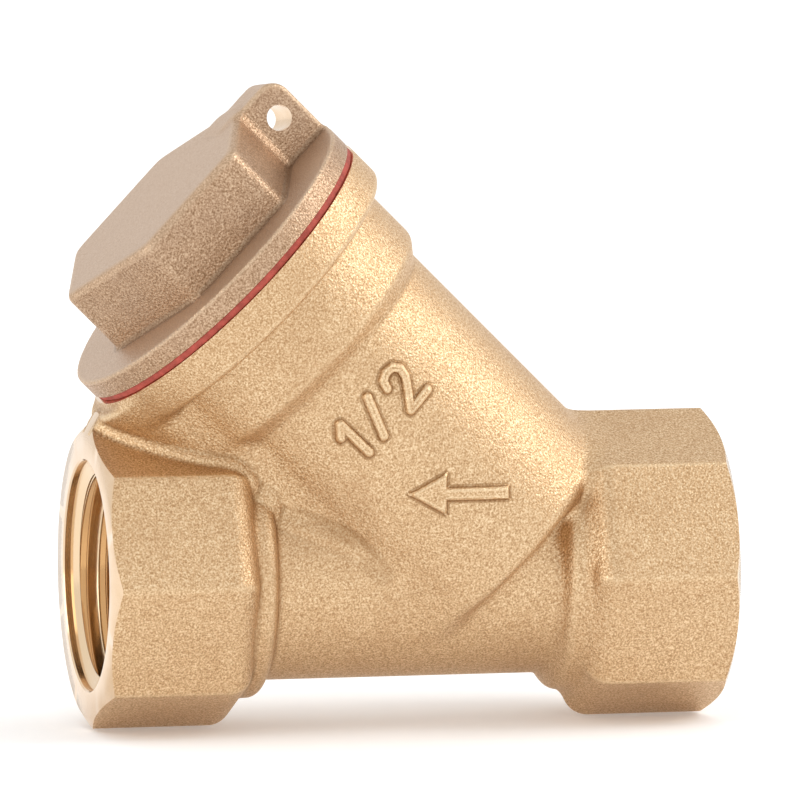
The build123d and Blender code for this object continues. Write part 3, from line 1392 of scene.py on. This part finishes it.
@dataclass(frozen=True)
class Gasket:
    """The fibre ring, a little out of round where it was punched."""

    outer: float = 15.98
    inner: float = 12.75
    thickness: float = 0.65
    outer_round: float = 0.12
    inner_round: float = 0.06
    segments: int = 240
    crease: float = 40.0

    # waves round the ring, how high they are, and where they start
    WAVES = ((3, 0.06, 1.1), (11, 0.035, 0.0), (29, 0.025, 2.0))
    SHRINK = 0.01

    def wander(self, angle: np.ndarray) -> np.ndarray:
        """How far the ring stands out at each angle."""
        return sum(size * np.sin(count * angle + start) for count, size, start in self.WAVES) - self.SHRINK

    def build(self) -> bpy.types.Object:
        """Punches and dresses the ring.

        Returns:
            The piece.
        """
        low, high = SEAT_HEIGHT, SEAT_HEIGHT + self.thickness
        corners = [
            (low, self.inner, self.inner_round),
            (low, self.outer, self.outer_round),
            (high, self.outer, self.outer_round),
            (high, self.inner, self.inner_round),
        ]
        piece = turned("gasket_ring", BRANCH, eased(corners, 3), self.segments, self.wander)
        fibre = VulcanisedFibre().material()
        return finished(piece, [fibre], self.crease, Rides.SEAL_RING, "gasket")


@dataclass(frozen=True)
class Screen:
    """The strainer's tube: a pierced sheet rolled once round, its end tucked inside the other."""

    radius: float = 9.3
    thickness: float = 0.45
    pitch: float = 1.62
    hole: float = 0.55
    columns: int = 36
    # height of the plain rims, both together
    rims: float = 3.0
    # how far the end laps, in how many steps, how soon it is tucked in, and the gap that it leaves
    lap: float = 2.2
    lap_steps: int = 3
    tuck: float = 1.5
    tuck_gap: float = 0.02
    crease: float = 40.0

    @property
    def rows(self) -> int:
        """How many holes an even column has."""
        return int((SCREEN_TOP - SCREEN_SEAT - self.rims) / self.pitch)

    @property
    def base(self) -> float:
        """Where the pierced part starts along the branch."""
        return SCREEN_SEAT + (SCREEN_TOP - SCREEN_SEAT - self.rows * self.pitch) / 2

    def sheet_point(self, run: float, along: float, layer: float) -> np.ndarray:
        """Finds a place on the rolled sheet.

        Args:
            run: distance along the sheet's outer face from its outer end.
            along: distance along the branch.
            layer: 0 for the outer face, 1 for the inner.

        Returns:
            The place in the row's frame.
        """
        turn = run / self.radius
        tucked = min(max((run - 2 * math.pi * self.radius + self.tuck) / self.tuck, 0), 1)
        drop = (self.thickness + self.tuck_gap) * tucked * tucked * (3 - 2 * tucked)
        radius = self.radius - self.thickness * layer - drop
        angle = math.pi / 2 - self.lap / 2 / self.radius + turn
        return BRANCH.place(np.array([along]), np.array([angle]), np.array([radius]))[0]

    def pierced(self) -> tuple[list[tuple[float, float]], list[list[int]]]:
        """Pierces the flat sheet.

        Returns:
            The points as (run, along), and the faces.
        """
        step = 2 * math.pi * self.radius / self.columns
        base, top = self.base, self.base + self.rows * self.pitch
        spots: dict[tuple[float, float], int] = {}
        points: list[tuple[float, float]] = []
        faces: list[list[int]] = []

        def spot(run: float, along: float) -> int:
            """Numbers a place, which is made once.

            Args:
                run: distance along the sheet.
                along: distance along the branch.

            Returns:
                The number of its point.
            """
            key = (round(run, 4), round(along, 4))
            if key not in spots:
                spots[key] = len(points)
                points.append((run, along))
            return spots[key]

        def plain(run0: float, run1: float, low: float, high: float) -> None:
            """Lays sheet without a hole, with points where its neighbours have them.

            Args:
                run0: where it starts along the sheet.
                run1: where it ends along the sheet.
                low: where it starts along the branch.
                high: where it ends along the branch.
            """
            middle = (run0 + run1) / 2
            edge = [(run0, low), (middle, low), (run1, low), (run1, high), (middle, high), (run0, high)]
            faces.append([spot(*place) for place in edge])

        for column in range(self.columns):
            run0, run1 = column * step, (column + 1) * step
            odd = column % 2
            for row in range(self.rows - odd):
                low = base + (row + odd / 2) * self.pitch
                high, mid, middle = low + self.pitch, low + self.pitch / 2, (run0 + run1) / 2
                edge = [(run1, mid), (run1, high), (middle, high), (run0, high)]
                edge += [(run0, mid), (run0, low), (middle, low), (run1, low)]
                count = len(edge)
                turns = [2 * math.pi * k / count for k in range(count)]
                rim = [spot(middle + self.hole * math.cos(q), mid + self.hole * math.sin(q)) for q in turns]
                outer = [spot(*place) for place in edge]
                for k in range(count):
                    n = (k + 1) % count
                    faces.append([outer[k], outer[n], rim[n], rim[k]])
            if odd:
                plain(run0, run1, base, base + self.pitch / 2)
                plain(run0, run1, base + (self.rows - 0.5) * self.pitch, top)
            plain(run0, run1, SCREEN_SEAT, base)
            plain(run0, run1, top, SCREEN_TOP)
        end, strip = self.columns * step, self.lap / self.lap_steps
        levels = {base + row * self.pitch / 2 for row in range(2 * self.rows + 1)}
        levels = sorted({SCREEN_SEAT, base, SCREEN_TOP} | levels)
        for k in range(self.lap_steps):
            run0, run1 = end + k * strip, end + (k + 1) * strip
            for low, high in zip(levels, levels[1:]):
                faces.append([spot(run0, low), spot(run1, low), spot(run1, high), spot(run0, high)])
        return points, faces

    def build(self) -> bpy.types.Object:
        """Pierces, rolls and dresses the tube.

        Returns:
            The piece.
        """
        points, faces = self.pierced()
        n = len(points)
        places = [self.sheet_point(run, along, layer) for layer in (0, 1) for run, along in points]
        edges = [(a, face[(i + 1) % len(face)]) for face in faces for i, a in enumerate(face)]
        used = dict.fromkeys(edges)
        walls = [[a, b, n + b, n + a] for a, b in used if (b, a) not in used]
        inner = [[n + k for k in reversed(face)] for face in faces]
        piece = solid("screen_tube_sheet", np.array(places), faces + inner + walls)
        sheet = StainlessSheet().material()
        return finished(piece, [sheet], self.crease, Rides.SCREEN_TUBE, "screen")


# Studio


@dataclass(frozen=True)
class Lamp:
    """A square soft lamp that looks at the strainer.

    Its turn is the compass angle from the front, positive to the right, and its rise the angle above the
    floor, both in degrees. Its distance, the side of its window and the height that it aims at are in
    metres, its power in watts.
    """

    name: str
    turn: float
    rise: float
    distance: float
    size: float
    power: float
    aim_height: float = 0.015

    def build(self) -> None:
        """Sets up the lamp."""
        data = bpy.data.lights.new(self.name, "AREA")
        data.size = self.size
        data.energy = self.power
        made = bpy.data.objects.new(self.name, data)
        turn, rise = math.radians(self.turn), math.radians(self.rise)
        toward = Vector((math.sin(turn) * math.cos(rise), -math.cos(turn) * math.cos(rise), math.sin(rise)))
        made.location = Vector((-BODY_LENGTH / 2 * MM, 0, self.aim_height)) + toward * self.distance
        made.rotation_euler = (-toward).to_track_quat("-Z", "Y").to_euler()
        bpy.context.scene.collection.objects.link(made)


@dataclass(frozen=True)
class Studio:
    """The camera, the soft lamps, the pale floor and the light all round.

    The camera's lens and sensor are in millimetres, its turn and rise in degrees, its distance in metres.
    It aims beside and above the middle of the run by so many millimetres.
    """

    lens: float = 591.9
    sensor: float = 36.0
    turn: float = 12.897
    rise: float = 5.854
    distance: float = 1.2
    aim: tuple[float, float] = (0.227, 15.28)
    clip: tuple[float, float] = (0.01, 10.0)
    floor_drop: float = 14.2
    floor_half: float = 3.0
    floor_spans: int = 24
    # the floor gives back a little light of its own, as a lit table does
    floor_glow: float = 0.17
    floor_grain: float = 2.0

    LAMPS = (
        Lamp("key", turn=78, rise=36, distance=0.9, size=0.5, power=2.5),
        Lamp("fill", turn=-72, rise=18, distance=0.9, size=0.6, power=1.6),
        Lamp("front", turn=12, rise=8, distance=0.9, size=0.5, power=0.3),
    )

    def axes(self) -> tuple[np.ndarray, np.ndarray, np.ndarray]:
        """Finds how the camera stands.

        Returns:
            Its right, up and backward ways.
        """
        turn, rise = math.radians(self.turn), math.radians(self.rise)
        right = np.array((math.cos(turn), -math.sin(turn), 0.0))
        level = math.cos(rise)
        back = np.array((-math.sin(turn) * level, -math.cos(turn) * level, math.sin(rise)))
        return right, np.cross(back, right), back

    def camera(self) -> None:
        """Sets the camera at the photograph's viewing angle."""
        right, up, back = self.axes()
        middle = np.array((-BODY_LENGTH / 2, 0.0, 0.0)) + right * self.aim[0] + up * self.aim[1]
        data = bpy.data.cameras.new("camera")
        data.lens = self.lens
        data.sensor_width = self.sensor
        data.clip_start, data.clip_end = self.clip
        made = bpy.data.objects.new("camera", data)
        made.location = Vector(middle * MM + back * self.distance)
        made.rotation_euler = Vector(-back).to_track_quat("-Z", "Y").to_euler()
        bpy.context.scene.collection.objects.link(made)
        bpy.context.scene.camera = made

    def floor(self) -> None:
        """Lays a pale floor that fades to the white of the background."""
        n = self.floor_spans
        steps = np.linspace(-self.floor_half, self.floor_half, n + 1)
        points = [(x, y, -self.floor_drop * MM) for y in steps for x in steps]
        corners = [j * (n + 1) + i for j in range(n) for i in range(n)]
        faces = [[k, k + 1, k + n + 2, k + n + 1] for k in corners]
        mesh = bpy.data.meshes.new("floor")
        mesh.from_pydata(points, [], faces)
        made = bpy.data.objects.new("floor", mesh)
        bpy.context.scene.collection.objects.link(made)
        material, tree, place = blank_material("pale_paper")
        grain = {"Vector": place, "Scale": per_metre(self.floor_grain), "Detail": 2.0}
        grain = add(tree, "ShaderNodeTexNoise", grain)
        stops = ((0.3, "#F4F4F4"), (0.7, "#F8F8F8"))
        tone = add(tree, "ShaderNodeValToRGB", {"Fac": grain.outputs["Fac"]}, stops=stops).outputs["Color"]
        glow = {"Emission Color": tone, "Emission Strength": self.floor_glow}
        paper = add(tree, "ShaderNodeBsdfPrincipled", {"Base Color": tone, "Roughness": 0.9, **glow})
        add(tree, "ShaderNodeOutputMaterial", {"Surface": paper.outputs[0]})
        mesh.materials.append(material)

    def world(self) -> None:
        """Surrounds the strainer with plain white light, which is also the background."""
        world = bpy.data.worlds.new("studio")
        bpy.context.scene.world = world
        world.use_nodes = True
        tree = world.node_tree
        tree.nodes.clear()
        light = add(tree, "ShaderNodeBackground", {"Color": linear("#FFFFFF"), "Strength": 1.0})
        add(tree, "ShaderNodeOutputWorld", {"Surface": light.outputs[0]})

    def build(self) -> None:
        """Sets up the studio."""
        self.camera()
        for lamp in self.LAMPS:
            lamp.build()
        self.floor()
        self.world()
        bpy.context.scene.view_settings.view_transform = "Standard"


def main() -> None:
    """Builds the strainer piece by piece and notes the points and faces of each."""
    logging.basicConfig(level=logging.INFO, format="%(name)s: %(message)s")
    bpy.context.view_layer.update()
    Studio().build()
    for part in (Body(), Cap(), Gasket(), Screen()):
        piece = part.build()
        LOG.info("%s is in place", piece.name)


if __name__ == "__main__":
    main()
